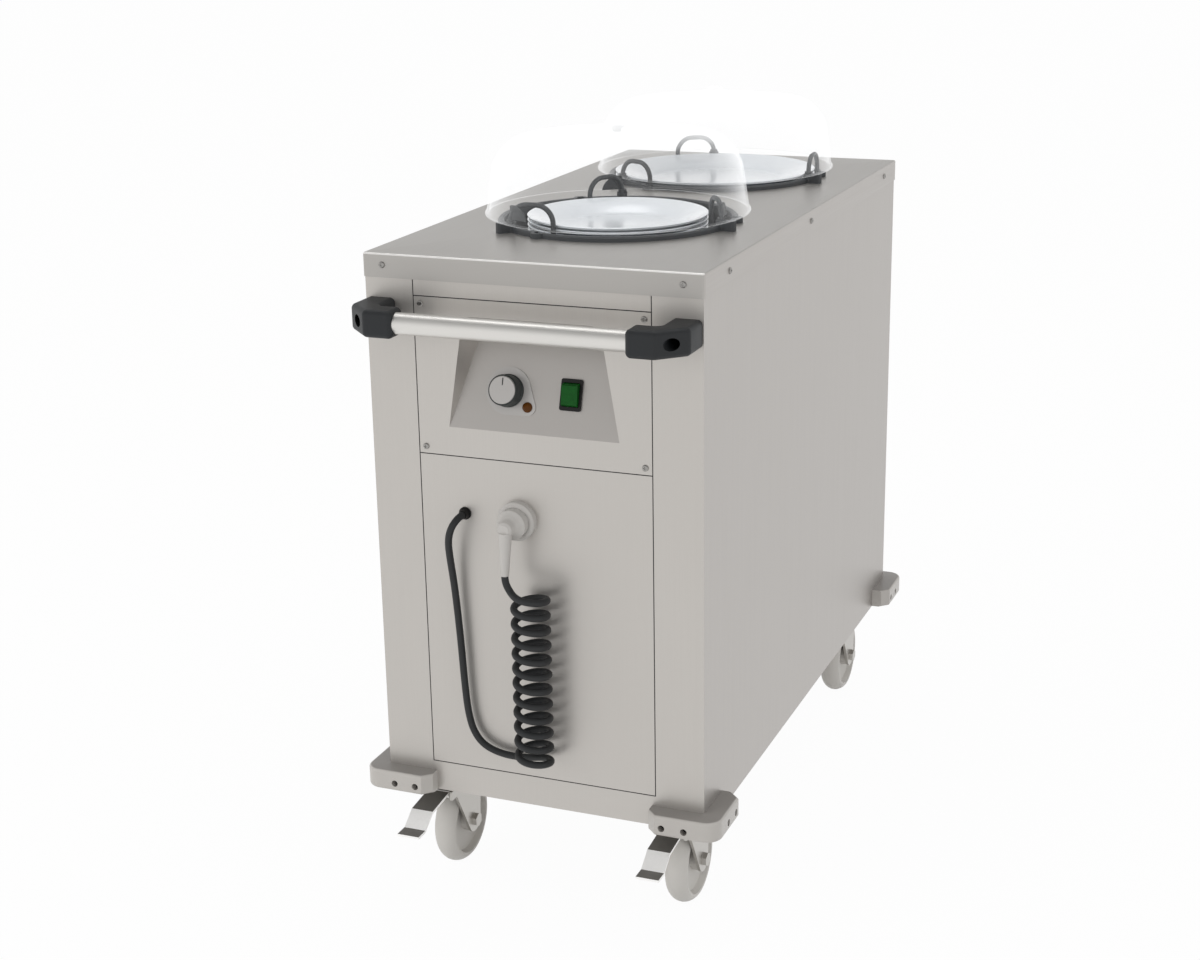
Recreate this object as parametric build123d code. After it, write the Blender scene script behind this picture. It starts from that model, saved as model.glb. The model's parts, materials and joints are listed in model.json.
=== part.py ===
from build123d import *
import math
import os

# Heated plate dispenser: a mobile cabinet with two sprung plate wells.
# Millimetres. Z is up, the control panel faces -Y, the floor is z = 0.

# Cabinet
cover_width = 465.0
cover_length = 956.0
cover_height = 903.5
cover_flange = 31.5
cover_corner_radius = 4.0
cover_edge_radius = 2.5
sheet = 1.5
body_inset = 2.0
body_underside = 155.8
seat_gap = 0.2
side_return = 20.0
pan_upstand = 25.0

# Front and rear openings in the cabinet and the panels that close them.
# Drops of joints, recess and handle are taken from the top of the cover.
panel_width = 324.0
panel_gap = 1.4
panel_sill_height = 198.5
panel_joint_drop = 262.5
header_joint_drop = 52.5
ledge_width = 17.0
ledge_lap = 4.0
panel_fold = 12.0
panel_screw_inset = 9.0

# Pressed recess of the control panel, with a floor that leans back
recess_bottom_drop = 227.0
recess_top_drop = 75.5
recess_bottom_half = 119.0
recess_top_half = 94.2
recess_corner_radius = 14.0
recess_draft = 20.3
recess_floor_drop = 223.5
recess_floor_lean = 17.0
recess_draw = 60.0

# Controls on the recess floor: x, then height above the floor's foot
knob_x = -39.0
knob_rise = 53.3
knob_radius = 21.5
knob_depth = 20.0
knob_cap_radius = 18.0
knob_cap_depth = 1.2
spindle_radius = 3.0
dial_plate_radius = 31.0
dial_plate_tail_radius = 11.0
dial_plate_thickness = 1.2
lamp_x = -10.7
lamp_rise = 34.1
lamp_radius = 6.0
switch_x = 48.0
switch_rise = 54.9
bezel_width = 29.0
bezel_height = 41.0
bezel_thickness = 3.0
bezel_corner_radius = 3.0
switch_can_depth = 20.0
rocker_width = 22.0
rocker_swing_radius = 15.2
rocker_proud = 9.0
rocker_tilt = 7.0
thermostat_width = 36.0
thermostat_depth = 26.0
control_clearance = 0.3

# Push handle
handle_radius = 14.0
handle_wall = 1.5
handle_standoff = 58.0
handle_drop = 75.5
handle_half_length = 156.0
handle_socket_depth = 22.0
bracket_size = 36.0
bracket_outer_x = 229.0
bracket_base_width = 40.0
bracket_bevel = 34.0
bracket_edge_radius = 7.0
bracket_bore_radius = 8.0
handle_bolt_x = 211.0
handle_bolt_radius = 4.0
handle_bolt_head_radius = 6.5
handle_bolt_head_height = 8.0
handle_bolt_seat = 12.0

# Corner bumpers
bumper_reach = 25.5
bumper_height = 29.0
bumper_leg = 100.0
bumper_end_chamfer = 12.0
bumper_corner_radius = 22.0
bumper_edge_radius = 4.0
bumper_hole_radius = 4.7
bumper_hole_depth = 13.0
bumper_shank_radius = 2.5
bumper_hole_height = 11.3
bumper_hole_first = 47.0
bumper_hole_pitch = 31.0

# Pan-head screws of the cover and the panels
screw_head_radius = 4.2
screw_head_height = 2.2
screw_shank_radius = 2.0
screw_shank_length = 6.0
screw_cross_width = 1.2
screw_cross_length = 4.4
cover_screw_drop = 15.0
cover_screw_front_x = 204.6
cover_screw_side_inset = 96.0
cover_screw_side_middle = -16.0

# Plate wells
well_front_inset = 310.0
well_pitch = 417.0
cover_opening_radius = 160.0
liner_radius = 168.0
liner_wall = 1.2
liner_depth = 620.0
liner_lip_radius = 196.0
liner_slot_width = 36.0
liner_slot_top = 22.0
liner_slot_length = 500.0
liner_vent_radius = 40.0
ring_inner_radius = 157.0
ring_outer_radius = 165.5
ring_height = 7.0
ring_spigot_wall = 2.7
ring_spigot_depth = 6.0

# Swinging plate guides, three to a well, each a rod bent into a long loop
guide_rod_radius = 3.5
guide_pivot_radius = 163.0
guide_chord = 61.0
guide_first_angle = -10.8
guide_count = 3
guide_apex = 41.0
guide_bend_radius = 24.0
guide_length = 480.0
guide_tie_height = -455.0
guide_tie_radius = 2.0
guide_collar_radius = 5.5
guide_collar_height = 3.0
guide_pivot_tail = 20.0
guide_clearance = 0.3
guide_web_length = 30.0
guide_web_angle = -25.0
guide_web_thickness = 2.0
lug_radius = 7.5
lug_height = 13.5
lug_reach = 184.0
lug_width = 12.0
notch_radius = 5.5
notch_pad_radius = 10.0
guide_foot_height = 8.0

# Plates and their carriers
front_plate_radius = 125.0
rear_plate_radius = 155.0
plate_rim_rise = 12.0
plate_height = 25.0
plate_floor = 6.0
plate_shell = 4.0
plate_count = 5
plate_gap = 0.3
front_guide_play = 1.0
rear_guide_play = 0.8
carrier_thickness = 3.0
carrier_radius = 112.0
carrier_hub_radius = 30.0
carrier_hole_radius = 22.0
carrier_arm_width = 28.0
carrier_strip_radius = 172.0
carrier_strip_drop = 220.0
carrier_hook_reach = 196.0
spring_circle_radius = 185.0
spring_radius = 8.0
spring_wire = 2.0
arm_first_angle = 60.0

# Clear covers
dome_foot_radius = 181.0
dome_foot_rise = 14.0
dome_shoulder_radius = 173.0
dome_shoulder_rise = 68.0
dome_turn_radius = 154.0
dome_turn_rise = 105.0
dome_brow_radius = 139.0
dome_brow_rise = 115.0
dome_crown_radius = 20.0
dome_crown_rise = 122.0
dome_wall = 3.0
dome_bead = 2.0
dome_knob_radius = 11.0
dome_knob_rise = 136.0
dome_knob_neck_radius = 6.5

# Heating rings at the foot of the wells
heater_circle_radius = 110.0
heater_radius = 4.0
heater_rise = 15.0
heater_leg_radius = 3.0

# Casters
wheel_radius = 62.5
wheel_width = 32.0
tread_radius = 9.0
wheel_hub_radius = 17.0
wheel_web_width = 16.0
wheel_rim_depth = 16.0
axle_radius = 6.0
axle_clearance = 0.3
caster_x = 174.0
caster_end_inset = 89.5
caster_trail = 12.0
fork_plate = 4.0
fork_gap = 2.0
fork_boss_radius = 18.0
fork_crown_top = 137.0
fork_crown_front = 45.0
fork_crown_rear = 36.0
fork_cup_radius = 28.0
fork_cup_top = 145.0
caster_plate_length = 100.0
caster_plate_width = 86.0
caster_plate_thickness = 3.8
caster_race_radius = 30.0
kingpin_radius = 6.0
kingpin_head_radius = 9.0
kingpin_head_height = 3.2
caster_bolt_radius = 6.5
caster_bolt_height = 5.0
caster_bolt_inset = 12.0

# Brake pedals of the front casters, measured from the swivel axis
pedal_width = 32.0
pedal_thickness = 3.5
pedal_pivot_reach = 52.0
pedal_pivot_height = 131.0
pedal_knuckle_radius = 5.5
pedal_pin_radius = 2.5
pedal_bend_reach = 107.5
pedal_bend_height = 129.7
pedal_drop_reach = 131.5
pedal_drop_height = 112.4
pedal_tip_reach = 152.5
pedal_ear_reach = 58.0

# Mains cord, its gland, plug and parking holder, with drops from the panel joint
cord_radius = 4.8
gland_x = -100.0
gland_drop = 77.0
gland_flange_radius = 8.5
gland_body_radius = 7.0
gland_nose = 10.0
gland_inner_length = 12.0
coil_x = 4.0
coil_standoff = 30.0
coil_radius = 21.75
coil_drop = 169.0
coil_pitch = 20.73
coil_front_arcs = 12
coil_start_angle = 225.0
plug_x = -24.0
plug_drop = 78.0
plug_radius = 20.0
plug_disc_length = 20.0
plug_grip_reach = 48.0
plug_grip_radius = 12.0
plug_exit_x = -26.6
plug_exit_standoff = 40.0
plug_exit_drop = 141.0
plug_relief_top_radius = 9.0
plug_relief_tip_radius = 5.6
holder_radius = 26.0
holder_depth = 13.0
holder_recess_depth = 4.0

# Places that follow from the sizes above
handle_reach = handle_standoff + bracket_size / 2
overall_length = handle_reach + cover_length + bumper_reach
front = -overall_length / 2 + handle_reach
rear = front + cover_length
face = front + body_inset
back = rear - body_inset
half_body = cover_width / 2 - body_inset
half_panel = panel_width / 2
half_opening = half_panel + panel_gap
body_top = cover_height - sheet - seat_gap
panel_joint_height = cover_height - panel_joint_drop
header_joint_height = cover_height - header_joint_drop
recess_bottom = cover_height - recess_bottom_drop
recess_top = cover_height - recess_top_drop
recess_floor_foot = cover_height - recess_floor_drop
handle_height = cover_height - handle_drop
gland_z = panel_joint_height - gland_drop
plug_z = panel_joint_height - plug_drop
plug_exit_z = panel_joint_height - plug_exit_drop
coil_first_z = panel_joint_height - coil_drop
well_ys = (front + well_front_inset, front + well_front_inset + well_pitch)
plate_radii = (front_plate_radius, rear_plate_radius)
guide_plays = (front_guide_play, rear_guide_play)
well_names = ("front", "rear")
handle_y = front - handle_standoff
wheel_z = wheel_radius
plate_pitch = plate_floor + plate_gap
stack_height = plate_height + (plate_count - 1) * plate_pitch
carrier_top = cover_height + plate_rim_rise - stack_height - plate_gap
liner_top = cover_height - sheet - seat_gap
liner_bottom = cover_height - liner_depth
lip_under = liner_top - sheet
fork_inner = wheel_width / 2 + fork_gap
fork_outer = fork_inner + fork_plate


def block(x0, x1, y0, y1, z0, z1):
    return Pos((x0 + x1) / 2, (y0 + y1) / 2, (z0 + z1) / 2) * Box(x1 - x0, y1 - y0, z1 - z0)


def post(radius, z0, z1, x=0.0, y=0.0):
    return Pos(x, y, (z0 + z1) / 2) * Cylinder(radius, z1 - z0)


def rod_along_y(radius, y0, y1, x, z):
    return Pos(x, (y0 + y1) / 2, z) * Rot(90, 0, 0) * Cylinder(radius, y1 - y0)


def rod_along_x(radius, x0, x1, y, z):
    return Pos((x0 + x1) / 2, y, z) * Rot(0, 90, 0) * Cylinder(radius, x1 - x0)


def turned(points):
    outline = make_face(Polyline(*points, close=True))
    return revolve(Plane.XZ * outline, Axis.Z)


def around(count, first, spacing=None):
    step = spacing or 360.0 / count
    return [first + step * i for i in range(count)]


def join(pieces):
    whole = pieces[0]
    for piece in pieces[1:]:
        whole = whole + piece
    return whole


def save(name, shape):
    export_step(shape, "parts/%s.step" % name)


def group(pieces):
    return Compound(children=[solid for piece in pieces for solid in piece.solids()])


def guide_free_angle(well):
    """Angle between a guide's chord and the tangent at its pivot when it touches the plates."""
    free = plate_radii[well] + guide_rod_radius + guide_plays[well]
    rise = guide_pivot_radius ** 2 + guide_chord ** 2 - free ** 2
    return math.degrees(math.asin(rise / (2 * guide_pivot_radius * guide_chord)))


guide_open_angle = math.degrees(math.asin(guide_chord / (2 * guide_pivot_radius)))
guide_open_arc = 2 * guide_open_angle


def polar(radius, angle):
    return radius * math.cos(math.radians(angle)), radius * math.sin(math.radians(angle))


def notch(z0, z1):
    """Room for the free leg of a wide-open guide, for a pivot on the +X axis."""
    x, y = polar(guide_pivot_radius, guide_open_arc)
    way_in = block(-notch_pad_radius * 2, 0, -notch_radius, notch_radius, z0, z1)
    return Pos(x, y, 0) * (post(notch_radius, z0, z1) + Rot(0, 0, guide_open_arc) * way_in)


def guide_places():
    return around(guide_count, guide_first_angle)


def cover_screw_places():
    """Centres and outward directions of the screws in the cover's flange."""
    z = cover_height - cover_screw_drop
    places = []
    for x in (-cover_screw_front_x, cover_screw_front_x):
        places.append(((x, front, z), (0, -1, 0)))
        places.append(((x, rear, z), (0, 1, 0)))
    sides = (front + cover_screw_side_inset, cover_screw_side_middle + (front + rear) / 2,
             rear - cover_screw_side_inset * 0.8)
    for y in sides:
        places.append(((cover_width / 2, y, z), (1, 0, 0)))
        places.append(((-cover_width / 2, y, z), (-1, 0, 0)))
    return places


def panel_screw_places():
    x = half_panel - panel_screw_inset
    low = panel_joint_height + panel_gap / 2 + panel_screw_inset
    high = header_joint_height - panel_gap / 2 - panel_screw_inset
    places = [((sign * x, face, z), (0, -1, 0)) for sign in (-1, 1) for z in (low, high)]
    bottom = panel_sill_height + panel_gap / 2 + panel_screw_inset
    places += [((sign * x, back, z), (0, 1, 0)) for sign in (-1, 1) for z in (bottom, high)]
    return places


def aimed(place):
    """Plane whose Z axis leaves the surface at a fastener."""
    origin, outward = place
    return Plane(origin=origin, z_dir=outward)


def pan_screw(place):
    head = extrude(Circle(screw_head_radius), screw_head_height)
    head = fillet(head.faces().sort_by(Axis.Z)[-1].edges(), screw_head_height * 0.7)
    arm = Box(screw_cross_length, screw_cross_width, screw_head_height)
    cross = Pos(0, 0, screw_head_height) * (arm + Rot(0, 0, 90) * arm)
    shank = Pos(0, 0, -screw_shank_length / 2) * Cylinder(screw_shank_radius, screw_shank_length)
    return aimed(place).location * (head - cross + shank)


def screw_holes(places):
    length = screw_shank_length + 2
    hole = Pos(0, 0, -length / 2) * Cylinder(screw_shank_radius + seat_gap, length + 1)
    return [aimed(place).location * hole for place in places]


def handle_bolt_holes():
    """Clearance holes through the front sheets behind the handle brackets."""
    return [rod_along_y(handle_bolt_radius + seat_gap, face - 2, face + 4 * sheet, x, handle_height)
            for x in (-handle_bolt_x, handle_bolt_x)]


def bumper_screw_places():
    """Hole mouths on the outer faces of all four bumpers."""
    z = body_underside + bumper_hole_height
    places = []
    for sx in (-1, 1):
        for sy, end in ((-1, front), (1, rear)):
            outer_x = sx * (cover_width / 2 + bumper_reach)
            outer_y = end + sy * bumper_reach
            for i in range(2):
                along = bumper_hole_first + i * bumper_hole_pitch
                places.append(((outer_x - sx * along, outer_y, z), (0, sy, 0)))
                places.append(((outer_x, outer_y - sy * along, z), (sx, 0, 0)))
    return places


def bumper_shank_length():
    return bumper_reach + body_inset + sheet + 2


def bumper_screw(place):
    head = Pos(0, 0, -bumper_hole_depth + 1.5) * Cylinder(bumper_hole_radius - seat_gap, 3)
    length = bumper_shank_length() - bumper_hole_depth
    shank = Pos(0, 0, -bumper_hole_depth - length / 2) * Cylinder(bumper_shank_radius, length)
    socket = Pos(0, 0, -bumper_hole_depth + 3) * extrude(RegularPolygon(2.0, 6), -2)
    return aimed(place).location * (head + shank - socket)


def bumper_bores():
    deep = bumper_shank_length() + 1
    bore = Pos(0, 0, -deep / 2) * Cylinder(bumper_shank_radius + seat_gap, deep)
    mouth = Pos(0, 0, -bumper_hole_depth / 2) * Cylinder(bumper_hole_radius, bumper_hole_depth)
    return [aimed(place).location * (bore + mouth) for place in bumper_screw_places()]


def top_cover():
    shell = block(-cover_width / 2, cover_width / 2, front, rear,
                  cover_height - cover_flange, cover_height)
    shell = fillet(shell.edges().filter_by(Axis.Z), cover_corner_radius)
    shell = fillet(shell.faces().sort_by(Axis.Z)[-1].edges(), cover_edge_radius)
    inner_x = cover_width / 2 - sheet
    shell -= block(-inner_x, inner_x, front + sheet, rear - sheet,
                   cover_height - cover_flange - 1, cover_height - sheet)
    z0 = cover_height - sheet - 1
    z1 = cover_height + 1
    for y in well_ys:
        shell -= post(cover_opening_radius, z0, z1, 0, y)
        for angle in guide_places():
            leg = post(guide_rod_radius + 1, z0, z1, guide_pivot_radius, 0)
            shell -= Pos(0, y, 0) * Rot(0, 0, angle) * (leg + notch(z0, z1))
    return shell - screw_holes(cover_screw_places())


def side_panel(side):
    outer = side * half_body
    inner = side * (half_body - sheet)
    turn = side * (half_body - side_return)
    y0 = face + sheet
    y1 = back - sheet
    web = block(min(outer, inner), max(outer, inner), y0, y1, body_underside, body_top)
    low, high = min(outer, turn), max(outer, turn)
    returns = (block(low, high, y0, y0 + sheet, body_underside, body_top)
               + block(low, high, y1 - sheet, y1, body_underside, body_top))
    holes = bumper_bores() + screw_holes(cover_screw_places()) + handle_bolt_holes()
    return web + returns - holes


def end_frame(outer_y, inward):
    """Posts and bottom rail in one sheet, with a joggled ledge round the opening."""
    def sheet_at(depth, half_x, z0, z1, cut_half, cut_z):
        a = outer_y + inward * depth
        b = a + inward * sheet
        plate = block(-half_x, half_x, min(a, b), max(a, b), z0, z1)
        hole = block(-cut_half, cut_half, min(a, b) - 1, max(a, b) + 1, cut_z, z1 + 1)
        return plate - hole
    sill = panel_sill_height - panel_gap / 2
    skin = sheet_at(0, half_body, body_underside, body_top, half_opening, sill)
    ledge = sheet_at(sheet, half_opening + ledge_lap, sill - ledge_lap, body_top,
                     half_opening - ledge_width, sill + ledge_width)
    holes = bumper_bores() + screw_holes(cover_screw_places()) + screw_holes(panel_screw_places())
    return skin + ledge - holes - handle_bolt_holes()


def flat_panel(outer_y, inward, z0, z1, folds):
    a = outer_y
    b = outer_y + inward * sheet
    c = outer_y + inward * (sheet + panel_fold)
    panel = block(-half_panel, half_panel, min(a, b), max(a, b), z0, z1)
    fold_half = half_opening - ledge_width - 2
    for z in folds:
        panel += block(-fold_half, fold_half, min(a, c), max(a, c), z, z + sheet)
    return panel


def header_strip():
    z0 = header_joint_height + panel_gap / 2
    return flat_panel(face, 1, z0, body_top, [z0])


def lower_front_panel():
    z0 = panel_sill_height + panel_gap / 2
    z1 = panel_joint_height - panel_gap / 2
    panel = flat_panel(face, 1, z0, z1, [z1 - sheet])
    return panel - rod_along_y(gland_body_radius + seat_gap, face - 2, face + 4, gland_x, gland_z)


def rear_panel():
    z0 = panel_sill_height + panel_gap / 2
    panel = flat_panel(back, -1, z0, body_top, [])
    return panel - screw_holes(panel_screw_places())


def on_floor(x, rise, out):
    """Location on the leaning recess floor, with -Y pointing out of it."""
    lean = Pos(0, face, recess_floor_foot) * Rot(-recess_floor_lean, 0, 0)
    return lean * Pos(x, -out, rise)


def recess_form(growth):
    """The pressed hollow, grown outwards by a wall's thickness."""
    corners = [(-recess_bottom_half - growth, recess_bottom - growth),
               (recess_bottom_half + growth, recess_bottom - growth),
               (recess_top_half + growth, recess_top + growth),
               (-recess_top_half - growth, recess_top + growth)]
    mouth = make_face(Polyline(*corners, close=True))
    upper = mouth.vertices().sort_by(Axis.Y)[-2:]
    mouth = fillet(upper, recess_corner_radius + growth)
    pressed = extrude(Plane(origin=(0, face, 0), x_dir=(1, 0, 0), z_dir=(0, -1, 0)) * mouth,
                      -recess_draw, taper=recess_draft)
    reach = 400.0
    room = on_floor(0, 0, 0) * block(-reach, reach, -reach, growth, -reach, reach)
    return pressed & room


def control_panel():
    z0 = panel_joint_height + panel_gap / 2
    z1 = header_joint_height - panel_gap / 2
    panel = flat_panel(face, 1, z0, z1, [z0])
    panel = panel + recess_form(sheet) - recess_form(0)
    through = sheet * 4
    hole = on_floor(knob_x, knob_rise, 0) * Rot(90, 0, 0) * Cylinder(spindle_radius + 2, through)
    lamp = on_floor(lamp_x, lamp_rise, 0) * Rot(90, 0, 0) * Cylinder(lamp_radius - 1, through)
    switch = on_floor(switch_x, switch_rise, 0) * Box(bezel_width - 4, through, bezel_height - 6)
    return panel - hole - lamp - switch - screw_holes(panel_screw_places())


def dial_plate():
    big = Pos(knob_x, knob_rise) * Circle(dial_plate_radius)
    small = Pos(lamp_x, lamp_rise) * Circle(dial_plate_tail_radius)
    drop = make_hull(big.edges() + small.edges())
    plate = extrude(Plane(origin=(0, 0, 0), x_dir=(1, 0, 0), z_dir=(0, -1, 0)) * drop,
                    dial_plate_thickness)
    plate -= Pos(knob_x, 0, knob_rise) * Rot(90, 0, 0) * Cylinder(spindle_radius + 2, 8)
    plate -= Pos(lamp_x, 0, lamp_rise) * Rot(90, 0, 0) * Cylinder(lamp_radius - 1, 8)
    return on_floor(0, 0, 0) * plate


def out_of_floor(x, rise, points):
    """A turned piece whose axis leaves the recess floor: radius, then distance out."""
    return on_floor(x, rise, 0) * Rot(90, 0, 0) * turned(points)


def pilot_lamp():
    bezel_out = dial_plate_thickness
    return out_of_floor(lamp_x, lamp_rise, [
        (0, -14), (lamp_radius - 1.2, -14), (lamp_radius - 1.2, bezel_out),
        (lamp_radius + 0.8, bezel_out), (lamp_radius + 0.4, bezel_out + 1.6),
        (lamp_radius - 1, bezel_out + 2.4), (lamp_radius - 3, bezel_out + 4), (0, bezel_out + 4.6)])


def thermostat_knob():
    foot = dial_plate_thickness + control_clearance
    front_out = foot + knob_depth
    knob = out_of_floor(knob_x, knob_rise, [
        (0, -8), (spindle_radius, -8), (spindle_radius, foot), (knob_radius, foot),
        (knob_radius, foot + 3), (knob_radius - 1, foot + 4), (knob_radius - 1.4, front_out - 1.5),
        (knob_radius - 2.4, front_out), (knob_cap_radius + 0.4, front_out),
        (knob_cap_radius + 0.4, front_out - 2), (0, front_out - 2)])
    return knob


def knob_cap():
    seat = dial_plate_thickness + control_clearance + knob_depth - 2
    top = seat + 2 + knob_cap_depth
    cap = out_of_floor(knob_x, knob_rise, [
        (0, seat), (knob_cap_radius, seat), (knob_cap_radius, top - 0.8),
        (knob_cap_radius - 0.8, top), (0, top)])
    groove = Box(1.6, 1.2, 9)
    pointer = on_floor(knob_x, knob_rise + knob_cap_radius - 7.5, top) * groove
    return cap - pointer


def thermostat():
    behind = sheet + control_clearance
    half = thermostat_width / 2
    body = block(-half, half, behind, behind + thermostat_depth, -half, half)
    body += Pos(0, behind + thermostat_depth, 0) * Rot(90, 0, 0) * Cylinder(half * 0.6, 8)
    body -= Pos(0, behind + 5, 0) * Rot(90, 0, 0) * Cylinder(spindle_radius + control_clearance, 16)
    return on_floor(knob_x, knob_rise, 0) * body


def switch_bezel():
    plate = Box(bezel_width, bezel_thickness, bezel_height)
    plate = fillet(plate.edges().filter_by(Axis.Y), bezel_corner_radius)
    plate = Pos(0, -bezel_thickness / 2, 0) * plate
    can = Pos(0, switch_can_depth / 2, 0) * Box(bezel_width - 5, switch_can_depth, bezel_height - 7)
    room_x = rocker_width + 2 * control_clearance
    room_z = 2 * (rocker_swing_radius + control_clearance)
    pocket = Box(room_x, switch_can_depth, room_z)
    return on_floor(switch_x, switch_rise, 0) * (plate + can - pocket)


def switch_rocker():
    drum = Rot(0, 90, 0) * Cylinder(rocker_swing_radius, rocker_width)
    room = block(-rocker_width, rocker_width, -rocker_proud, 5, -20, 20)
    body = drum & room
    for side in (-1, 1):
        shave = Pos(0, -rocker_proud, 0) * Rot(side * rocker_tilt, 0, 0)
        body -= shave * block(-20, 20, -10, 0, min(0, side * 30), max(0, side * 30))
    return on_floor(switch_x, switch_rise, 0) * Rot(rocker_tilt, 0, 0) * body


def handle_tube():
    half = handle_half_length + handle_socket_depth
    tube = rod_along_x(handle_radius, -half, half, handle_y, handle_height)
    return tube - rod_along_x(handle_radius - handle_wall, -half - 1, half + 1,
                              handle_y, handle_height)


def handle_bracket(side):
    """Moulded elbow from the tube's end back to the cabinet's post."""
    reach = handle_standoff + body_inset
    half = bracket_size / 2
    inner = bracket_outer_x - bracket_base_width
    plan = [(handle_half_length, -reach - half), (bracket_outer_x - bracket_bevel, -reach - half),
            (bracket_outer_x, -reach - half + bracket_bevel), (bracket_outer_x, 0),
            (inner, 0), (inner, -reach + half), (handle_half_length, -reach + half)]
    body = extrude(make_face(Polyline(*plan, close=True)), bracket_size)
    wall_side = body.faces().sort_by(Axis.Y)[-1]
    edges = [e for e in body.edges() if e not in wall_side.edges()]
    body = fillet(edges, bracket_edge_radius)
    body = Pos(0, face, handle_height - half) * body
    body -= rod_along_x(handle_radius + seat_gap, handle_half_length - 1,
                        handle_half_length + handle_socket_depth + seat_gap,
                        handle_y, handle_height)
    bore_end = face - handle_bolt_seat
    body -= rod_along_y(bracket_bore_radius, front - reach - half, bore_end,
                        handle_bolt_x, handle_height)
    body -= rod_along_y(handle_bolt_radius + seat_gap, bore_end - 1, face + 1,
                        handle_bolt_x, handle_height)
    return body if side > 0 else mirror(body, Plane.YZ)


def handle_bolts():
    seat = face - handle_bolt_seat
    bolts = []
    for x in (-handle_bolt_x, handle_bolt_x):
        head = rod_along_y(handle_bolt_head_radius, seat - handle_bolt_head_height, seat,
                           x, handle_height)
        socket = Pos(x, seat - handle_bolt_head_height, handle_height) * Rot(90, 0, 0)
        head -= socket * extrude(RegularPolygon(3.5, 6), 4, both=True)
        head += rod_along_y(handle_bolt_radius, seat, face + 2 * sheet + 1, x, handle_height)
        bolts.append(head)
    return bolts


def corner_bumper(sx, sy):
    """Rounded L-shaped buffer round one bottom corner of the cabinet."""
    outer_x = cover_width / 2 + bumper_reach
    outer_y = overall_length / 2 if sy > 0 else -front + bumper_reach
    inner_y = back if sy > 0 else -face
    c = bumper_end_chamfer
    plan = [(half_body, inner_y), (half_body, outer_y - bumper_leg),
            (outer_x - c, outer_y - bumper_leg), (outer_x, outer_y - bumper_leg + c),
            (outer_x, outer_y), (outer_x - bumper_leg + c, outer_y),
            (outer_x - bumper_leg, outer_y - c), (outer_x - bumper_leg, inner_y)]
    outline = make_face(Polyline(*plan, close=True))
    corner = outline.vertices().sort_by(Axis((0, 0, 0), (1, 1, 0)))[-1]
    outline = fillet(corner, bumper_corner_radius)
    body = extrude(outline, bumper_height)
    rims = body.faces().filter_by(Axis.Z).edges()
    outer = [e for e in rims if (e @ 0.5).X > outer_x - c - 1 or (e @ 0.5).Y > outer_y - c - 1]
    body = fillet(outer, bumper_edge_radius)
    body = Pos(0, 0, body_underside) * body
    if sx < 0:
        body = mirror(body, Plane.YZ)
    if sy < 0:
        body = mirror(body, Plane.XZ)
    return body - bumper_bores()


def base_pan():
    half = half_body - sheet - seat_gap
    y0 = face + 2 * sheet + seat_gap
    y1 = back - 2 * sheet - seat_gap
    pan = block(-half, half, y0, y1, body_underside, body_underside + pan_upstand)
    pan -= block(-half + sheet, half - sheet, y0 + sheet, y1 - sheet,
                 body_underside + 2 * sheet, body_underside + pan_upstand + 1)
    for y in well_ys:
        pan -= post(liner_vent_radius, body_underside - 1, body_underside + 10, 0, y)
    return pan - bumper_bores()


def well_liner(well):
    outer = liner_radius + liner_wall
    liner = turned([(liner_vent_radius, liner_bottom), (outer, liner_bottom), (outer, lip_under),
                    (liner_lip_radius, lip_under), (liner_lip_radius, liner_top),
                    (liner_radius, liner_top), (liner_radius, liner_bottom + sheet),
                    (liner_vent_radius, liner_bottom + sheet)])
    slot_top = liner_top - liner_slot_top
    for angle in around(3, arm_first_angle):
        half = liner_slot_width / 2
        slot = block(liner_radius - 10, outer + 4, -half, half, slot_top - liner_slot_length, slot_top)
        liner -= Rot(0, 0, angle) * slot
    for angle in guide_places():
        z0 = cover_height - guide_length - guide_pivot_tail + 2
        z1 = z0 + guide_foot_height
        shelf = block(guide_pivot_radius, liner_radius + liner_wall / 2, -lug_radius, lug_radius, z0, z1)
        bearing = post(lug_radius, z0, z1, guide_pivot_radius, 0) + shelf
        bearing &= post(liner_radius + liner_wall / 2, z0, z1)
        bearing -= post(guide_rod_radius + guide_clearance, z0 - 1, z1 + 1, guide_pivot_radius, 0)
        liner += Rot(0, 0, angle) * bearing
    return Pos(0, well_ys[well], 0) * liner


def guide_ring(well):
    """Black rim of a well, with a lug at each guide's pivot that also carries the dome."""
    ring = turned([(ring_inner_radius, -ring_spigot_depth),
                   (ring_inner_radius + ring_spigot_wall, -ring_spigot_depth),
                   (ring_inner_radius + ring_spigot_wall, 0), (ring_outer_radius, 0),
                   (ring_outer_radius, ring_height - 2), (ring_outer_radius - 2, ring_height),
                   (ring_inner_radius + 2, ring_height), (ring_inner_radius, ring_height - 2)])
    for angle in guide_places():
        turn = Rot(0, 0, angle)
        x, y = polar(guide_pivot_radius, guide_open_arc)
        lug = post(lug_radius, 0, lug_height, guide_pivot_radius, 0)
        arm = block(guide_pivot_radius, lug_reach, -lug_width / 2, lug_width / 2, 0, lug_height)
        arm = fillet(arm.edges().filter_by(Axis.Z).sort_by(Axis.X)[-2:], 4)
        ring += turn * (lug + arm + post(notch_pad_radius, 0, ring_height, x, y))
        ring -= turn * notch(-ring_spigot_depth - 1, ring_height + 1)
        ring -= turn * post(guide_rod_radius + guide_clearance, -ring_spigot_depth - 1,
                            lug_height + 1, guide_pivot_radius, 0)
    ring -= post(ring_inner_radius, -ring_spigot_depth - 1, lug_height + 1)
    return Pos(0, well_ys[well], cover_height) * ring


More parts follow.
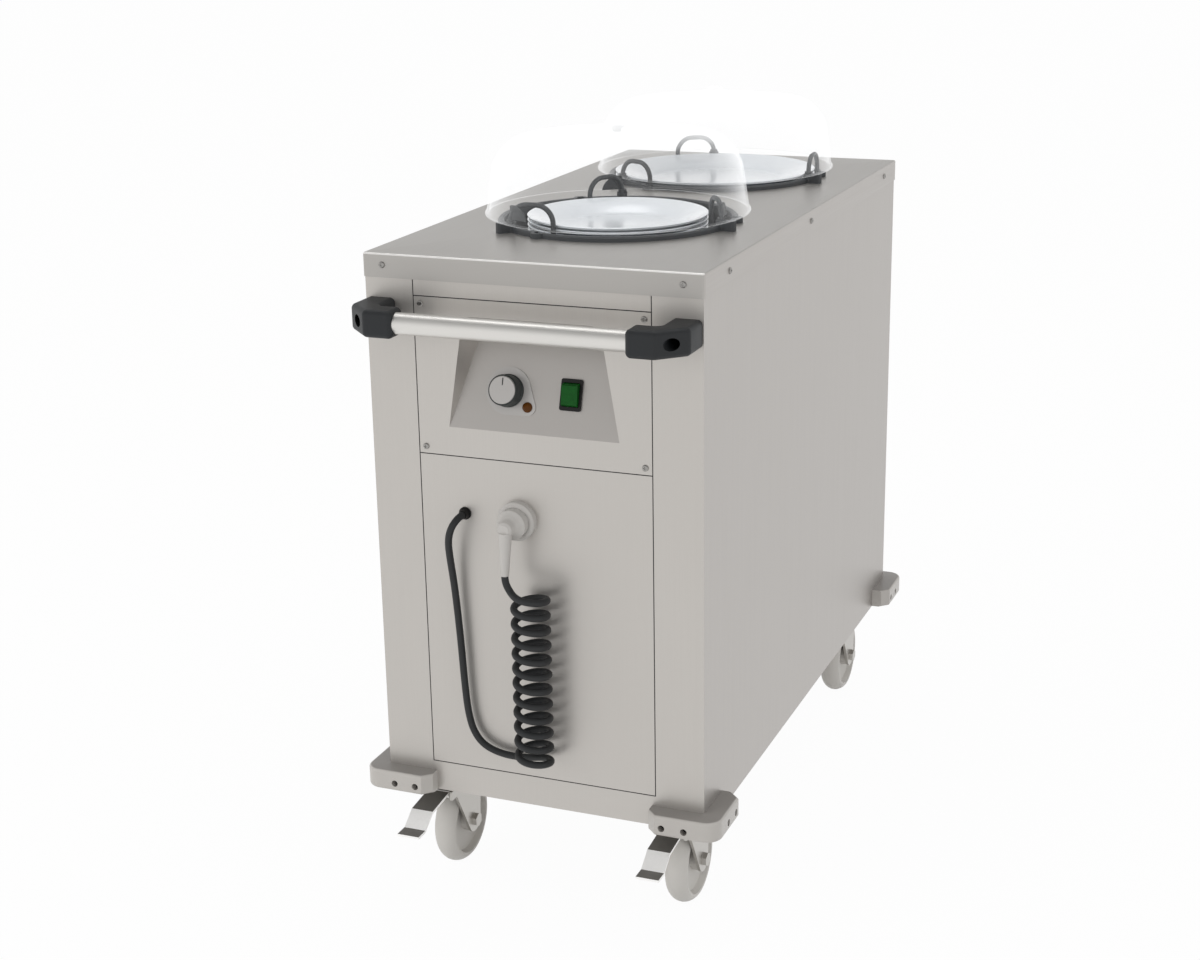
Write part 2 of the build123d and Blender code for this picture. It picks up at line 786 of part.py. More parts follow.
def plate_guide(well, angle):
    """Rod bent into a long closed loop that swings about its clockwise leg."""
    low = -guide_length
    path = FilletPolyline((0, 0, low - guide_pivot_tail), (0, 0, guide_apex - guide_rod_radius),
                          (0, guide_chord, guide_apex - guide_rod_radius), (0, guide_chord, low),
                          radius=guide_bend_radius)
    section = Plane(origin=path @ 0, z_dir=path % 0) * Circle(guide_rod_radius)
    guide = sweep(section, path=path)
    tie = Pos(0, guide_chord / 2, guide_tie_height) * Rot(90, 0, 0)
    guide += tie * Cylinder(guide_tie_radius, guide_chord)
    collar_foot = lug_height + guide_clearance
    guide += post(guide_collar_radius, collar_foot, collar_foot + guide_collar_height)
    if well == 0:
        guide += guide_web()
    closed = guide_free_angle(well)
    swing = Pos(guide_pivot_radius, 0, 0) * Rot(0, 0, closed)
    return Pos(0, well_ys[well], cover_height) * Rot(0, 0, angle) * swing * guide


def guide_web():
    """Rounded fin beside the pivot leg of a guide set for small plates."""
    base = lug_height + guide_clearance + guide_collar_height
    top = guide_apex - guide_rod_radius - 2
    outline = make_face([Line((0, base), (guide_web_length, base)),
                         ThreePointArc((guide_web_length, base),
                                       (guide_web_length * 0.72, base + (top - base) * 0.75), (0, top)),
                         Line((0, top), (0, base))])
    fin = extrude(Plane.YZ * outline, guide_web_thickness / 2, both=True)
    return Rot(0, 0, guide_web_angle) * fin


def plate_profile(radius):
    foot = radius * 0.54
    floor = radius * 0.66
    rim = radius
    lip = plate_height
    return [(0, 2.0), (foot - 3, 2.0), (foot - 3, 0), (foot + 2, 0), (foot + 4, 2.4),
            (floor + 3, 2.4), (rim - 14, lip - plate_shell - 3), (rim - 1, lip - plate_shell + 1.5),
            (rim, lip - 1), (rim - 1.5, lip), (rim - 14, lip - 3), (floor, plate_floor),
            (0, plate_floor)]


def plates(well):
    """A short nested stack that leaves the top plate's rim just over the ring."""
    plate = turned(plate_profile(plate_radii[well]))
    low = carrier_top + plate_gap
    stack = [Pos(0, well_ys[well], low + i * plate_pitch) * plate for i in range(plate_count)]
    return group(stack)


def carrier(well):
    """Plate platform with three arms out through the liner to the springs' hooks."""
    z1 = carrier_top
    z0 = z1 - carrier_thickness
    disc = post(carrier_radius, z0, z1) - post(carrier_hub_radius, z0 - 1, z1 + 1)
    for angle in around(6, arm_first_angle / 2):
        x, y = polar((carrier_radius + carrier_hub_radius) / 2, angle)
        disc -= post(carrier_hole_radius, z0 - 1, z1 + 1, x, y)
    half = carrier_arm_width / 2
    foot = z0 - carrier_strip_drop
    strip = carrier_strip_radius
    for angle in around(3, arm_first_angle):
        arm = block(carrier_radius - 12, strip + carrier_thickness, -half, half, z0, z1)
        arm += block(strip, strip + carrier_thickness, -half, half, foot, z1)
        arm += block(strip, carrier_hook_reach, -half, half, foot, foot + carrier_thickness)
        disc += Rot(0, 0, angle) * arm
    return Pos(0, well_ys[well], 0) * disc


def lift_springs(well):
    low = carrier_top - carrier_thickness - carrier_strip_drop + carrier_thickness + seat_gap
    high = lip_under - seat_gap
    springs = []
    for angle in around(3, arm_first_angle):
        x, y = polar(spring_circle_radius, angle)
        tube = post(spring_radius, low, high) - post(spring_radius - spring_wire, low - 1, high + 1)
        springs.append(Pos(x, well_ys[well] + y, 0) * tube)
    return group(springs)


def dome(well):
    t = dome_wall
    foot, shoulder, turn, brow = dome_foot_radius, dome_shoulder_radius, dome_turn_radius, dome_brow_radius
    crown = dome_crown_radius
    rises = (dome_foot_rise, dome_shoulder_rise, dome_turn_rise, dome_brow_rise, dome_crown_rise)
    z0, z1, z2, z3, z4 = rises
    outer = [Line((foot, z0), (shoulder, z1)),
             ThreePointArc((shoulder, z1), (turn, z2), (brow, z3)),
             Line((brow, z3), (crown, z4)),
             Line((crown, z4), (0, z4))]
    inner = [Line((foot - t, z0), (shoulder - t, z1)),
             ThreePointArc((shoulder - t, z1), (turn - t * 0.8, z2 - t * 0.6), (brow - t * 0.4, z3 - t)),
             Line((brow - t * 0.4, z3 - t), (crown, z4 - t)),
             Line((crown, z4 - t), (0, z4 - t))]
    ends = [Line((foot - t, z0), (foot, z0)), Line((0, z4 - t), (0, z4))]
    shell = revolve(Plane.XZ * make_face(outer + inner + ends), Axis.Z)
    bead = turned([(foot - 1, z0), (foot + dome_bead, z0), (foot + dome_bead, z0 + 2), (foot - 1, z0 + 3)])
    knob = dome_knob_radius
    top = dome_knob_rise
    button = turned([(0, z4 - 1), (dome_knob_neck_radius, z4 - 1), (dome_knob_neck_radius, z4 + 3),
                     (knob, z4 + 7), (knob, top - 3), (knob - 3, top), (0, top)])
    return Pos(0, well_ys[well], cover_height) * (shell + bead + button)


def heating_elements():
    """One tubular ring at the foot of each well, on two legs through its floor."""
    z = liner_bottom + heater_rise
    rings = []
    for y in well_ys:
        ring = Torus(heater_circle_radius, heater_radius)
        for sign in (-1, 1):
            ring += post(heater_leg_radius, -heater_rise + sheet + seat_gap, 0,
                         sign * heater_circle_radius, 0)
        rings.append(Pos(0, y, z) * ring)
    return rings


def caster_places():
    ys = {"front": front + caster_end_inset, "rear": rear - caster_end_inset}
    return {"%s_%s" % (end, side): (sx * caster_x, ys[end])
            for end in ("front", "rear") for side, sx in (("left", -1), ("right", 1))}


def caster_plates():
    """Fixed halves of the four casters: plate, upper race, kingpin and bolt heads."""
    plates_out = []
    top = body_underside
    low = top - caster_plate_thickness
    half_x = caster_plate_width / 2
    half_y = caster_plate_length / 2
    for x, y in caster_places().values():
        plate = block(-half_x, half_x, -half_y, half_y, low, top)
        plate = fillet(plate.edges().filter_by(Axis.Z), 8)
        plate += post(caster_race_radius, fork_cup_top + axle_clearance, low)
        pin_low = fork_crown_top - fork_plate - axle_clearance
        plate += post(kingpin_radius, pin_low, low)
        plate += post(kingpin_head_radius, pin_low - kingpin_head_height, pin_low)
        for bx in (-half_x + caster_bolt_inset, half_x - caster_bolt_inset):
            for by in (-half_y + caster_bolt_inset, half_y - caster_bolt_inset):
                hexagon = extrude(RegularPolygon(caster_bolt_radius, 6), caster_bolt_height)
                plate += Pos(bx, by, low - caster_bolt_height) * hexagon
        plates_out.append(Pos(x, y, 0) * plate)
    return group(plates_out)


def fork_leg():
    boss = Pos(caster_trail, wheel_z) * Circle(fork_boss_radius)
    depth = 10.0
    crown = make_face(Polyline((-fork_crown_front, fork_crown_top - depth),
                               (-fork_crown_front, fork_crown_top),
                               (fork_crown_rear, fork_crown_top),
                               (fork_crown_rear, fork_crown_top - depth), close=True))
    outline = make_hull(boss.edges() + crown.edges())
    return extrude(Plane.YZ * outline, fork_plate)


def caster_fork(x, y, braked):
    leg = fork_leg()
    fork = Pos(fork_inner, 0, 0) * leg + Pos(-fork_outer, 0, 0) * leg
    low = fork_crown_top - fork_plate
    fork += block(-fork_outer, fork_outer, -fork_crown_front, fork_crown_rear, low, fork_crown_top)
    fork += post(fork_cup_radius, fork_crown_top - 1, fork_cup_top)
    fork -= post(kingpin_radius + axle_clearance, low - 1, fork_cup_top + 1)
    if braked:
        for x0 in (fork_inner, -fork_outer):
            ear = block(x0, x0 + fork_plate, -pedal_ear_reach, -fork_crown_front + 4,
                        pedal_pivot_height - 7, fork_crown_top)
            fork += ear
        fork += rod_along_x(pedal_pin_radius, -fork_outer, fork_outer, -pedal_pivot_reach,
                            pedal_pivot_height)
    axle = rod_along_x(axle_radius, -fork_outer - 3, fork_outer + 3, caster_trail, wheel_z)
    for x0 in (-fork_outer - 6, fork_outer):
        nut = Pos(x0, caster_trail, wheel_z) * Rot(0, 90, 0) * extrude(RegularPolygon(10, 6), 6)
        axle += nut
    return Pos(x, y, 0) * (fork + axle)


def caster_wheel(x, y):
    half = wheel_width / 2
    web = wheel_web_width / 2
    r = wheel_radius
    t = tread_radius
    bore = axle_radius + axle_clearance
    rim = r - wheel_rim_depth
    hub = wheel_hub_radius
    hub_half = half + fork_gap - axle_clearance
    tread = [Line((bore, -hub_half), (hub, -hub_half)), Line((hub, -hub_half), (hub, -web)),
             Line((hub, -web), (rim, -web)), Line((rim, -web), (rim + 3, -half)),
             Line((rim + 3, -half), (r - t, -half)),
             ThreePointArc((r - t, -half), (r, 0), (r - t, half)),
             Line((r - t, half), (rim + 3, half)), Line((rim + 3, half), (rim, web)),
             Line((rim, web), (hub, web)), Line((hub, web), (hub, hub_half)),
             Line((hub, hub_half), (bore, hub_half)), Line((bore, hub_half), (bore, -hub_half))]
    wheel = revolve(Plane.XZ * make_face(tread), Axis.Z)
    return Pos(x, y + caster_trail, wheel_z) * Rot(0, 90, 0) * wheel


def brake_pedal(x, y):
    t = pedal_thickness
    top = [(-pedal_pivot_reach, pedal_pivot_height + pedal_knuckle_radius - 1),
           (-pedal_bend_reach, pedal_bend_height), (-pedal_drop_reach, pedal_drop_height),
           (-pedal_tip_reach, pedal_drop_height)]
    under = [(py, pz - t) for py, pz in reversed(top)]
    half = pedal_width / 2
    strip = extrude(Plane.YZ * make_face(Polyline(*(top + under), close=True)), half, both=True)
    knuckle = rod_along_x(pedal_knuckle_radius, -half, half, -pedal_pivot_reach, pedal_pivot_height)
    pedal = strip + knuckle
    pedal -= rod_along_x(pedal_pin_radius + axle_clearance, -half - 1, half + 1,
                         -pedal_pivot_reach, pedal_pivot_height)
    return Pos(x, y, 0) * pedal


def cord_gland():
    length = gland_nose
    y = face
    flange = 2.0
    gland = turned([(cord_radius + 0.2, -length), (cord_radius + 0.9, -length),
                    (gland_body_radius, -flange), (gland_flange_radius, -flange),
                    (gland_flange_radius, 0), (gland_body_radius, 0),
                    (gland_body_radius, gland_inner_length), (cord_radius + 0.2, gland_inner_length)])
    return Pos(gland_x, y, gland_z) * Rot(-90, 0, 0) * gland


def plug_holder():
    """Blind parking socket on the lower panel."""
    r = holder_radius
    d = holder_depth
    hollow = plug_radius + control_clearance
    puck = turned([(0, 0), (r, 0), (r, d - 3), (r - 3, d), (hollow, d),
                   (hollow, d - holder_recess_depth), (0, d - holder_recess_depth)])
    return Pos(plug_x, face, plug_z) * Rot(90, 0, 0) * puck


def plug():
    """Angled mains plug parked in its holder, with the grip forward and the cord down."""
    seat = holder_depth - holder_recess_depth + control_clearance
    disc_end = seat + plug_disc_length
    body = turned([(0, seat), (plug_radius, seat), (plug_radius, disc_end - 4),
                   (plug_radius - 4, disc_end), (plug_grip_radius, disc_end + 6),
                   (plug_grip_radius - 2, plug_grip_reach - 3), (plug_grip_radius - 5, plug_grip_reach),
                   (0, plug_grip_reach)])
    body = Pos(plug_x, face, plug_z) * Rot(90, 0, 0) * body
    top = Vector(plug_x, front - plug_exit_standoff, plug_z - 4)
    tip = Vector(plug_exit_x, front - plug_exit_standoff, plug_exit_z)
    upper = Plane(origin=top, z_dir=(0, 0, -1)) * Circle(plug_relief_top_radius)
    lower = Plane(origin=tip, z_dir=(0, 0, -1)) * Circle(plug_relief_tip_radius)
    return body + loft([upper, lower])


def helix_point(angle):
    """Point and heading on the coil; it descends as the angle grows."""
    turns = (angle - 270.0) / 360.0
    a = math.radians(angle)
    centre_y = front - coil_standoff
    place = Vector(coil_x + coil_radius * math.cos(a), centre_y + coil_radius * math.sin(a),
                   coil_first_z - coil_pitch * turns)
    drop = coil_pitch / (2 * math.pi)
    heading = Vector(-coil_radius * math.sin(a), coil_radius * math.cos(a), -drop).normalized()
    return place, heading


def biarc(p0, t0, p1, t1):
    """Two arcs that join two points with the given headings."""
    v = p1 - p0
    t = t0 + t1
    a = 2 * (1 - t0.dot(t1))
    b = 2 * v.dot(t)
    c = -v.dot(v)
    d = -c / b if abs(a) < 1e-9 else (-b + math.sqrt(b * b - 4 * a * c)) / (2 * a)
    middle = (p0 + t0 * d + p1 - t1 * d) * 0.5
    first = TangentArc(p0, middle, tangent=t0)
    second = TangentArc(middle, p1, tangent=first % 1)
    return [first, second]


def coil_angles():
    last = 270.0 + 360.0 * (coil_front_arcs - 1) + 180.0
    steps = int((last - coil_start_angle) // 90)
    first = last - 90.0 * steps
    return [coil_start_angle] + [first + 90.0 * i for i in range(steps + 1)
                                 if first + 90.0 * i > coil_start_angle + 1]


def cord_coil():
    """Hanging curls of the cord, from the plug's tail down to the plain lead."""
    angles = coil_angles()
    tail = Vector(plug_exit_x, front - plug_exit_standoff, plug_exit_z)
    stub = 2 * cord_radius
    start = tail + Vector(0, 0, -stub)
    edges = [Line(tail, start)]
    here, heading = helix_point(angles[0])
    edges += biarc(start, Vector(0, 0, -1), here, heading)
    for a, b in zip(angles, angles[1:]):
        p0, t0 = helix_point(a)
        p1, t1 = helix_point(b)
        edges += biarc(p0, t0, p1, t1)
    end, out = helix_point(angles[-1])
    edges.append(Line(end, end + out * stub))
    path = Wire(edges)
    section = Plane(origin=tail, z_dir=(0, 0, -1)) * Circle(cord_radius)
    solid = sweep(section, path=path)
    measure_coil(path, solid)
    return solid


def measure_coil(path, solid):
    samples = [path @ (i / 1500.0) for i in range(1501)]
    spacing = path.length / 1500.0
    skip = int(math.pi * cord_radius * 2 / spacing)
    least = min((samples[i] - samples[j]).length
                for i in range(0, 1501, 3) for j in range(i + skip, 1501, 3))
    print("coil length %.1f mm, least gap to itself %.2f mm" % (path.length, least - 2 * cord_radius))
    ideal = math.pi * cord_radius ** 2 * path.length
    print("coil volume over section times length %.4f" % (solid.volume / ideal))


def lead_points():
    """Route of the plain lead, chosen by hand, from the gland to the foot of the coil.

    Each place is x, then y from the cover's front edge, then the drop below the gland.
    """
    end, out = helix_point(coil_angles()[-1])
    meet = end + out * (2 * cord_radius)
    before = meet + out * 22.0
    route = [(-101.0, -20.0, 0.5), (-107.0, -29.0, 12.0), (-112.5, -27.5, 30.0),
             (-114.5, -20.0, 56.0), (-112.5, -13.0, 99.0), (-108.0, -11.0, 169.0),
             (-104.5, -10.5, 239.0), (-101.5, -9.5, 279.0), (-95.0, -9.0, 306.0),
             (-80.5, -8.8, 325.0), (-55.0, -8.5, 334.0)]
    mouth = Vector(gland_x, face - gland_nose, gland_z)
    return [mouth] + [Vector(x, front + y, gland_z - drop) for x, y, drop in route] + [before, meet]


def lead_radii(points):
    radii = []
    for a, b, c in zip(points, points[1:], points[2:]):
        turn = math.radians((b - a).get_angle(c - b))
        shorter = min((b - a).length, (c - b).length)
        radii.append(0.45 * shorter / math.tan(turn / 2))
    return radii


def cord_lead():
    points = lead_points()
    radii = lead_radii(points)
    print("lead arc radii", [round(r, 1) for r in radii])
    path = FilletPolyline(*points, radius=radii)
    section = Plane(origin=points[0], z_dir=path % 0) * Circle(cord_radius)
    solid = sweep(section, path=path)
    ratio = solid.volume / (math.pi * cord_radius ** 2 * path.length)
    print("lead length %.1f mm, volume over section times length %.4f" % (path.length, ratio))
    return solid


os.makedirs("parts", exist_ok=True)

save("top_cover", top_cover())
save("side_panel_left", side_panel(-1))
save("side_panel_right", side_panel(1))
save("front_frame", end_frame(face, 1))
save("rear_frame", end_frame(back, -1))
save("header_strip", header_strip())
save("control_panel", control_panel())
save("lower_front_panel", lower_front_panel())
save("rear_panel", rear_panel())
save("base_pan", base_pan())
save("cabinet_screws", group([pan_screw(p) for p in cover_screw_places() + panel_screw_places()]))
save("dial_plate", dial_plate())
save("pilot_lamp", pilot_lamp())
save("thermostat_knob", thermostat_knob())
save("knob_cap", knob_cap())
save("switch_bezel", switch_bezel())
save("switch_rocker", switch_rocker())
save("handle_tube", handle_tube())
save("handle_bracket_left", handle_bracket(-1))
save("handle_bracket_right", handle_bracket(1))
for end_name, end_sign in (("front", -1), ("rear", 1)):
    for side_name, side_sign in (("left", -1), ("right", 1)):
        save("corner_bumper_%s_%s" % (end_name, side_name), corner_bumper(side_sign, end_sign))
save("socket_screws", group(handle_bolts() + [bumper_screw(p) for p in bumper_screw_places()]))
for index, well_name in enumerate(well_names):
    save("well_liner_%s" % well_name, well_liner(index))
    save("guide_ring_%s" % well_name, guide_ring(index))
    save("carrier_%s" % well_name, carrier(index))
    save("lift_springs_%s" % well_name, lift_springs(index))
    save("plates_%s" % well_name, plates(index))
    save("dome_%s" % well_name, dome(index))
    for letter, guide_angle in zip("abc", guide_places()):
        save("plate_guide_%s_%s" % (well_name, letter), plate_guide(index, guide_angle))
save("heaters_and_thermostat", group(heating_elements() + [thermostat()]))
save("caster_plates", caster_plates())
for place_name, (caster_px, caster_py) in caster_places().items():
    is_braked = place_name.startswith("front")
    save("caster_fork_%s" % place_name, caster_fork(caster_px, caster_py, is_braked))
    save("caster_wheel_%s" % place_name, caster_wheel(caster_px, caster_py))
    if is_braked:
        save("brake_pedal_%s" % place_name[6:], brake_pedal(caster_px, caster_py))
save("cord_gland", cord_gland())
save("plug_holder", plug_holder())
save("plug", plug())
save("cord_coil", cord_coil())
save("cord_lead", cord_lead())
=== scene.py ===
import json
import math

import bpy
from mathutils import Matrix, Vector


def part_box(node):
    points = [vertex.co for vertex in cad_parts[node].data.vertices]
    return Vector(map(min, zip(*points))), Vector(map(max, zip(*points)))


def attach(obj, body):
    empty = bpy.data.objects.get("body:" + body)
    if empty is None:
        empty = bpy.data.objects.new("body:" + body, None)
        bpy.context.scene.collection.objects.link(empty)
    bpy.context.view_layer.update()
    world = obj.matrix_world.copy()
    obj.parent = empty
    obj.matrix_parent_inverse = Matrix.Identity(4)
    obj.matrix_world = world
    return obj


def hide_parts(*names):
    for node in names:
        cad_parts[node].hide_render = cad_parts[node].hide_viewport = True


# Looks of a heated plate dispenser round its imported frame. Metres, Z up, controls facing -Y.
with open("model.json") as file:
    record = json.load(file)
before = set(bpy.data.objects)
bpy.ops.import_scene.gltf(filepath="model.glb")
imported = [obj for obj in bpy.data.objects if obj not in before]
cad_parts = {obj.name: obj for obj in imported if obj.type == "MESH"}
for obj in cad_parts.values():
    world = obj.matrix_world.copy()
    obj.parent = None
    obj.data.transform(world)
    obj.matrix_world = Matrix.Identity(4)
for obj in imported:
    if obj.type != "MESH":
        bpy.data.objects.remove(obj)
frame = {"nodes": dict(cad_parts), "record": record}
nodes = frame["nodes"]
slots = {part["node"]: part["material_slot"] for part in frame["record"]["subparts"]}
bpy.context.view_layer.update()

# Photograph's viewpoint in the frame of the part
camera_place = (0.999, -2.69075, 1.3895)
camera_right = (0.9286, 0.3708, -0.0162)
camera_up = (-0.0970, 0.2846, 0.9538)
camera_back = (0.3583, -0.8841, 0.3002)
camera_lens = 59.94
sensor_width = 36.0

# Studio: even light, a sky that metal sees darker overhead, and a floor that shows nearly white.
# The sky darkens between two heights of the view, from 0 at the horizon to 1 straight up.
world_light = 0.78
sky_overhead = 0.25
sky_change = (0.15, 0.9)
floor_half = 30.0
floor_shade = 0.86
floor_whiteness = 0.96
lights_aim = (0.0, 0.0, 0.6)

# Places read from the frame
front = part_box("top_cover")[0].y
front_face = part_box("lower_front_panel")[0].y
cover_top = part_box("top_cover")[1].z
centre_of = {}
for well in ("front", "rear"):
    low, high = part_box("dome_" + well)
    centre_of[well] = (low + high) / 2

# Turned pieces: radius and height of the outline's points, from the cover's top or the plate's foot
lathe_sides = 160
lathe_crease = 40.0
arc_steps = 24
dome_wall = 0.003
dome_lip = 0.0018
dome_lip_height = 0.002
dome_lip_root = (-0.0003, 0.003)
dome_foot = (0.181, 0.014)
dome_shoulder = (0.173, 0.068)
dome_turn = (0.154, 0.105)
dome_brow = (0.139, 0.115)
dome_crown = (0.020, 0.122)
dome_button_top = 0.136
dome_button_radius = 0.0110
dome_button_stem = 0.0065
plate_height = 0.025
plate_floor = 0.006
plate_pitch = 0.0063
plate_count = 5
plate_radius = {"front": 0.125, "rear": 0.155}
plate_ring_share = 0.54
plate_well_share = 0.66

# Marks and gaps: the pointer's ends are shares of the cap's radius, its faces lie under and over
# the cap's face, and the faces of the dark strips in the gaps, painted shade, lie behind the front
# panel's face
pointer_width = 0.0012
pointer_ends = (0.34, 0.88)
pointer_faces = (-0.0004, 0.0001)
panel_gap = 0.0014
panel_gap_faces = (0.0006, 0.0010)

# Materials: the grain's relief, and how much of the clear plastic shows face on and edge on
grain_depth = 0.0002
veil_through = 0.012
veil_edge = 0.45
veil_power = 3.0

# Shading: edges that turn by more degrees than this stay crisp, with pieces of shallow folds apart
crisp_angle = 32.0
crisp_angles = {"brake_pedal_left": 20.0, "brake_pedal_right": 20.0, "control_panel": 10.0}

# Pieces with a finish of their own; the others have the one that their slot names. The socket screws'
# near-black is painted shade for the holes they sit in.
finishes = {"top_cover": "worktop_steel_painted_light", "control_panel": "recess_steel_painted_shade", "socket_screws": "ink_and_painted_shade",
            "brake_pedal_left": "pedal_steel_painted_light", "brake_pedal_right": "pedal_steel_painted_light"}

# Free cord: the plain lead's route from the cover's front edge, then the hanging coil. The coil's
# angles are in degrees, and its top is given at its nearest point to the viewer.
cord_diameter = 0.0096
lead_route = [(-0.1010, -0.0200, 0.5635), (-0.1070, -0.0290, 0.5520), (-0.1125, -0.0275, 0.5340),
              (-0.1145, -0.0200, 0.5080), (-0.1125, -0.0130, 0.4650), (-0.1080, -0.0110, 0.3950),
              (-0.1045, -0.0105, 0.3250), (-0.1015, -0.0095, 0.2850), (-0.0950, -0.0090, 0.2580),
              (-0.0805, -0.0088, 0.2390), (-0.0550, -0.0085, 0.2300)]
coil_x = 0.004
coil_standoff = 0.030
coil_radius = 0.02175
coil_control_radius = 0.0225
coil_top = 0.472
coil_pitch = 0.02073
coil_near_angle = 270.0
coil_first_angle = 225.0
coil_last_angle = 4410.0
coil_step = 30.0
coil_foot_run = 0.022
coil_head_run = 0.013
plug_exit = (-0.0266, -0.0400, 0.5000)


def srgb(red, green, blue):
    """Linear colour for the 0 to 255 values that the render should show."""
    def linear(value):
        share = value / 255.0
        return share / 12.92 if share <= 0.04045 else ((share + 0.055) / 1.055) ** 2.4
    return (linear(red), linear(green), linear(blue), 1.0)


def scaled(colour, share):
    return tuple(channel * share for channel in colour[:3]) + (1.0,)


class Surface:
    """A material whose nodes are added and joined by name."""

    def __init__(self, name):
        self.material = bpy.data.materials.new(name)
        self.material.use_nodes = True
        self.tree = self.material.node_tree
        self.shader = self.tree.nodes["Principled BSDF"]
        self.place = self.add("ShaderNodeTexCoord").outputs["Object"]

    def add(self, kind, **values):
        node = self.tree.nodes.new(kind)
        for name, value in values.items():
            node.inputs[name.replace("_", " ")].default_value = value
        return node

    def join(self, output, target):
        self.tree.links.new(output, target)

    def reckon(self, operation, *values):
        """A sum, product or the like of numbers and other nodes' outputs."""
        node = self.add("ShaderNodeMath")
        node.operation = operation
        for target, value in zip(node.inputs, values):
            if isinstance(value, float):
                target.default_value = value
            else:
                self.join(value, target)
        return node.outputs["Value"]

    def set(self, **values):
        for name, value in values.items():
            self.shader.inputs[name.replace("_", " ")].default_value = value

    def noise(self, stretch, detail=2.0, roughness=0.5):
        mapping = self.add("ShaderNodeMapping", Scale=stretch)
        self.join(self.place, mapping.inputs["Vector"])
        texture = self.add("ShaderNodeTexNoise", Scale=1.0, Detail=detail, Roughness=roughness)
        self.join(mapping.outputs["Vector"], texture.inputs["Vector"])
        return texture.outputs["Fac"]

    def remap(self, value, low, high, start=0.3, end=0.7):
        """Stretches a value to low and high; noise keeps mostly between 0.3 and 0.7."""
        node = self.add("ShaderNodeMapRange", From_Min=start, From_Max=end, To_Min=low, To_Max=high)
        self.join(value, node.inputs["Value"])
        return node.outputs["Result"]

    def mix(self, share, first, second):
        node = self.tree.nodes.new("ShaderNodeMix")
        node.data_type = "RGBA"
        self.join(share, node.inputs["Factor"])
        for target, colour in ((node.inputs[6], first), (node.inputs[7], second)):
            if isinstance(colour, tuple):
                target.default_value = colour
            else:
                self.join(colour, target)
        return node.outputs[2]

    def normal(self):
        """The X, Y and Z parts of the direction in which a face points."""
        split = self.add("ShaderNodeSeparateXYZ")
        self.join(self.add("ShaderNodeNewGeometry").outputs["Normal"], split.inputs["Vector"])
        return split.outputs

    def paint_facing_shade(self, tint, turned):
        """Gives the faces that point along an axis, either way, a painted shade of their own, for how
        light falls on them.
        """
        if not turned:
            return tint
        axis, start, end, painted_tone = turned
        along = self.reckon("ABSOLUTE", self.normal()[axis])
        return self.mix(self.remap(along, 0.0, 1.0, start, end), tint, painted_tone)

    def paint_fold_highlight(self, tint, painted_tone):
        """Gives the rounded folds between front and top faces a painted highlight of their own."""
        if not painted_tone:
            return tint
        normal = self.normal()
        between = self.reckon("ABSOLUTE", self.reckon("MULTIPLY", normal["Y"], normal["Z"]))
        return self.mix(self.remap(between, 0.0, 1.0, 0.1, 0.3), tint, painted_tone)

    def bump(self, height, strength, distance):
        node = self.add("ShaderNodeBump", Strength=strength, Distance=distance)
        self.join(height, node.inputs["Height"])
        self.join(node.outputs["Normal"], self.shader.inputs["Normal"])


def brushed_metal(name, colour, stretch, metallic=0.75, roughness=(0.36, 0.43), contrast=0.018,
                  turned=None, fold_highlight=None):
    """Sheet metal with a fine drawn grain: stretch is small along the grain."""
    surface = Surface(name)
    surface.set(Metallic=metallic)
    grain = surface.noise(stretch, detail=3.0, roughness=0.6)
    cloud = surface.noise((5.0, 5.0, 3.0), detail=2.0)
    fine = surface.mix(surface.remap(grain, 0.0, 1.0), scaled(colour, 1 - contrast),
                       scaled(colour, 1 + contrast))
    tint = surface.mix(surface.remap(cloud, 0.0, 0.35), fine, scaled(colour, 1 - 2 * contrast))
    # Painted shade on faces along an axis, and a painted highlight on the rounded folds
    tint = surface.paint_fold_highlight(surface.paint_facing_shade(tint, turned), fold_highlight)
    surface.join(tint, surface.shader.inputs["Base Color"])
    surface.join(surface.remap(grain, *roughness), surface.shader.inputs["Roughness"])
    surface.bump(grain, 0.02, grain_depth)
    return surface.material


def moulded(name, colour, roughness, grain_size=0.0008, strength=0.12, contrast=0.06, shine=0.5,
            turned=None):
    """Moulded plastic or rubber with a fine skin grain and slight clouding."""
    surface = Surface(name)
    surface.set(Specular_IOR_Level=shine)
    pitch = 1.0 / grain_size
    grain = surface.noise((pitch, pitch, pitch), detail=2.0)
    cloud = surface.noise((18.0, 18.0, 18.0), detail=3.0)
    tint = surface.mix(surface.remap(cloud, 0.0, 1.0), scaled(colour, 1 - contrast),
                       scaled(colour, 1 + contrast))
    # Painted shade on faces along an axis
    surface.join(surface.paint_facing_shade(tint, turned), surface.shader.inputs["Base Color"])
    surface.join(surface.remap(cloud, roughness - 0.05, roughness + 0.05),
                 surface.shader.inputs["Roughness"])
    surface.bump(grain, strength, grain_depth)
    return surface.material


def glazed(name, colour):
    """White porcelain under a clear glaze with a faint orange-peel swell."""
    surface = Surface(name)
    surface.set(Coat_Weight=0.8, Coat_Roughness=0.16, Roughness=0.25)
    swell = surface.noise((35.0, 35.0, 35.0), detail=1.0)
    tint = surface.mix(surface.remap(swell, 0.0, 1.0), scaled(colour, 0.97), colour)
    surface.join(tint, surface.shader.inputs["Base Color"])
    surface.bump(swell, 0.02, 0.002)
    return surface.material


